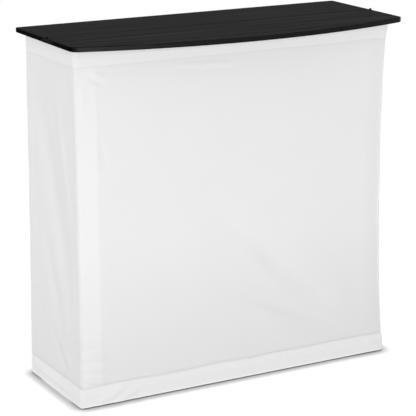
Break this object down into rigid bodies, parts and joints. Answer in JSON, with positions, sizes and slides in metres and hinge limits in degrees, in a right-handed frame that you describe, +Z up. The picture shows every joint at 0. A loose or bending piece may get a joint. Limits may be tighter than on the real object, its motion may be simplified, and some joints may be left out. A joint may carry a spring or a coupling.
{
  "type": "folding portable bar",
  "caption": "Folding portable bar: bowed two-leaf top on a fold-flat tube frame, with a hinged shelf and a stretched cloth cover on the front and sides.",
  "frame": {"origin": "on the floor under the middle of the bar top", "axes": "+Z up, +X along the bar to the right seen from the guests' side, front (guests' side) faces -Y"},
  "size_m": [0.945, 0.412, 0.924],
  "materials": {
    "top_board": "black wood-grain laminate, satin",
    "shelf_board": "black wood-grain laminate, satin",
    "frame_steel": "light grey powder coat",
    "zinc_steel": "zinc plated",
    "black_steel": "blackened, satin",
    "corner_nylon": "moulded, fine grain",
    "foot_rubber": "matt",
    "cover_cloth": "white woven polyester, matt",
    "hook_tape": "hook-and-loop tape"
  },
  "bodies": {
    "rear_frame": {"rear_left_leg": "frame_steel", "rear_left_top_block": "corner_nylon", "rear_left_foot_block": "corner_nylon", "rear_left_foot_pad": "foot_rubber", "rear_right_leg": "frame_steel", "rear_right_top_block": "corner_nylon", "rear_right_foot_block": "corner_nylon", "rear_right_foot_pad": "foot_rubber", "rear_top_rail": "frame_steel", "rear_shelf_rail": "frame_steel", "rear_foot_rail": "frame_steel", "cover_left_side": "cover_cloth", "cover_right_side": "cover_cloth"},
    "front_frame": {"front_left_leg": "frame_steel", "front_left_top_block": "corner_nylon", "front_left_foot_block": "corner_nylon", "front_left_foot_pad": "foot_rubber", "front_right_leg": "frame_steel", "front_right_top_block": "corner_nylon", "front_right_foot_block": "corner_nylon", "front_right_foot_pad": "foot_rubber", "front_top_rail": "frame_steel", "front_shelf_rail": "frame_steel", "front_foot_rail": "frame_steel", "cover_front": "cover_cloth", "front_top_tape": "hook_tape", "front_foot_tape": "hook_tape"},
    "left_rear_links": {"left_rear_upper_link": "zinc_steel", "left_upper_link_pin": "zinc_steel", "left_rear_lower_link": "zinc_steel", "left_lower_link_pin": "zinc_steel"},
    "left_front_links": {"left_front_upper_link": "zinc_steel", "left_front_lower_link": "zinc_steel"},
    "right_rear_links": {"right_rear_upper_link": "zinc_steel", "right_upper_link_pin": "zinc_steel", "right_rear_lower_link": "zinc_steel", "right_lower_link_pin": "zinc_steel"},
    "right_front_links": {"right_front_upper_link": "zinc_steel", "right_front_lower_link": "zinc_steel"},
    "shelf_rear": {"shelf_rear_board": "shelf_board", "shelf_rear_left_clip": "zinc_steel", "shelf_rear_right_clip": "zinc_steel", "shelf_hinge_rear_leaf": "zinc_steel", "shelf_hinge_pin": "zinc_steel"},
    "shelf_front": {"shelf_front_board": "shelf_board", "shelf_front_left_clip": "zinc_steel", "shelf_front_right_clip": "zinc_steel", "shelf_hinge_front_leaf": "zinc_steel"},
    "top_rear": {"top_rear_leaf": "top_board", "left_top_hinge_rear_plate": "black_steel", "left_top_hinge_pin": "black_steel", "left_top_peg": "corner_nylon", "right_top_hinge_rear_plate": "black_steel", "right_top_hinge_pin": "black_steel", "right_top_peg": "corner_nylon"},
    "top_front": {"top_front_leaf": "top_board", "left_top_hinge_front_plate": "black_steel", "right_top_hinge_front_plate": "black_steel"}
  },
  "joints": [
    {"name": "frame_fold", "type": "hinge", "parent": "rear_frame", "child": "left_rear_links", "pos_m": [-0.42, 0.1615, 0.45], "axis": [0, 0, 1], "range_deg": [0, 79], "deforming": ["cover_left_side", "cover_right_side"]},
    {"name": "left_link_knee", "type": "hinge", "parent": "left_rear_links", "child": "left_front_links", "pos_m": [-0.42, 0.0485, 0.45], "axis": [0, 0, 1], "range_deg": [-162, 0]},
    {"name": "left_front_link_pivot", "type": "hinge", "parent": "left_front_links", "child": "front_frame", "pos_m": [-0.42, -0.0645, 0.45], "axis": [0, 0, 1], "range_deg": [0, 81]},
    {"name": "right_rear_link_swing", "type": "hinge", "parent": "rear_frame", "child": "right_rear_links", "pos_m": [0.42, 0.1615, 0.45], "axis": [0, 0, 1], "range_deg": [-81, 0]},
    {"name": "right_link_knee", "type": "hinge", "parent": "right_rear_links", "child": "right_front_links", "pos_m": [0.42, 0.0485, 0.45], "axis": [0, 0, 1], "range_deg": [0, 162]},
    {"name": "shelf_rear_fold", "type": "hinge", "parent": "rear_frame", "child": "shelf_rear", "pos_m": [0, 0.1615, 0.4545], "axis": [-1, 0, 0], "range_deg": [0, 81]},
    {"name": "shelf_front_fold", "type": "hinge", "parent": "shelf_rear", "child": "shelf_front", "pos_m": [0, 0.0485, 0.4545], "axis": [-1, 0, 0], "range_deg": [-162, 0]},
    {"name": "top_lift", "type": "slide", "parent": "rear_frame", "child": "top_rear", "axis": [0, 0, 1], "range_m": [0, 0.12]},
    {"name": "leaf_fold", "type": "hinge", "parent": "top_rear", "child": "top_front", "pos_m": [0, 0.016, 0.9204], "axis": [-1, 0, 0], "range_deg": [0, 180]}
  ],
  "couplings": [
    {"joint": "left_link_knee", "follows": "frame_fold", "ratio": -2},
    {"joint": "left_front_link_pivot", "follows": "frame_fold", "ratio": 1},
    {"joint": "right_rear_link_swing", "follows": "frame_fold", "ratio": -1},
    {"joint": "right_link_knee", "follows": "frame_fold", "ratio": 2},
    {"joint": "shelf_rear_fold", "follows": "frame_fold", "ratio": 1},
    {"joint": "shelf_front_fold", "follows": "frame_fold", "ratio": -2}
  ]
}
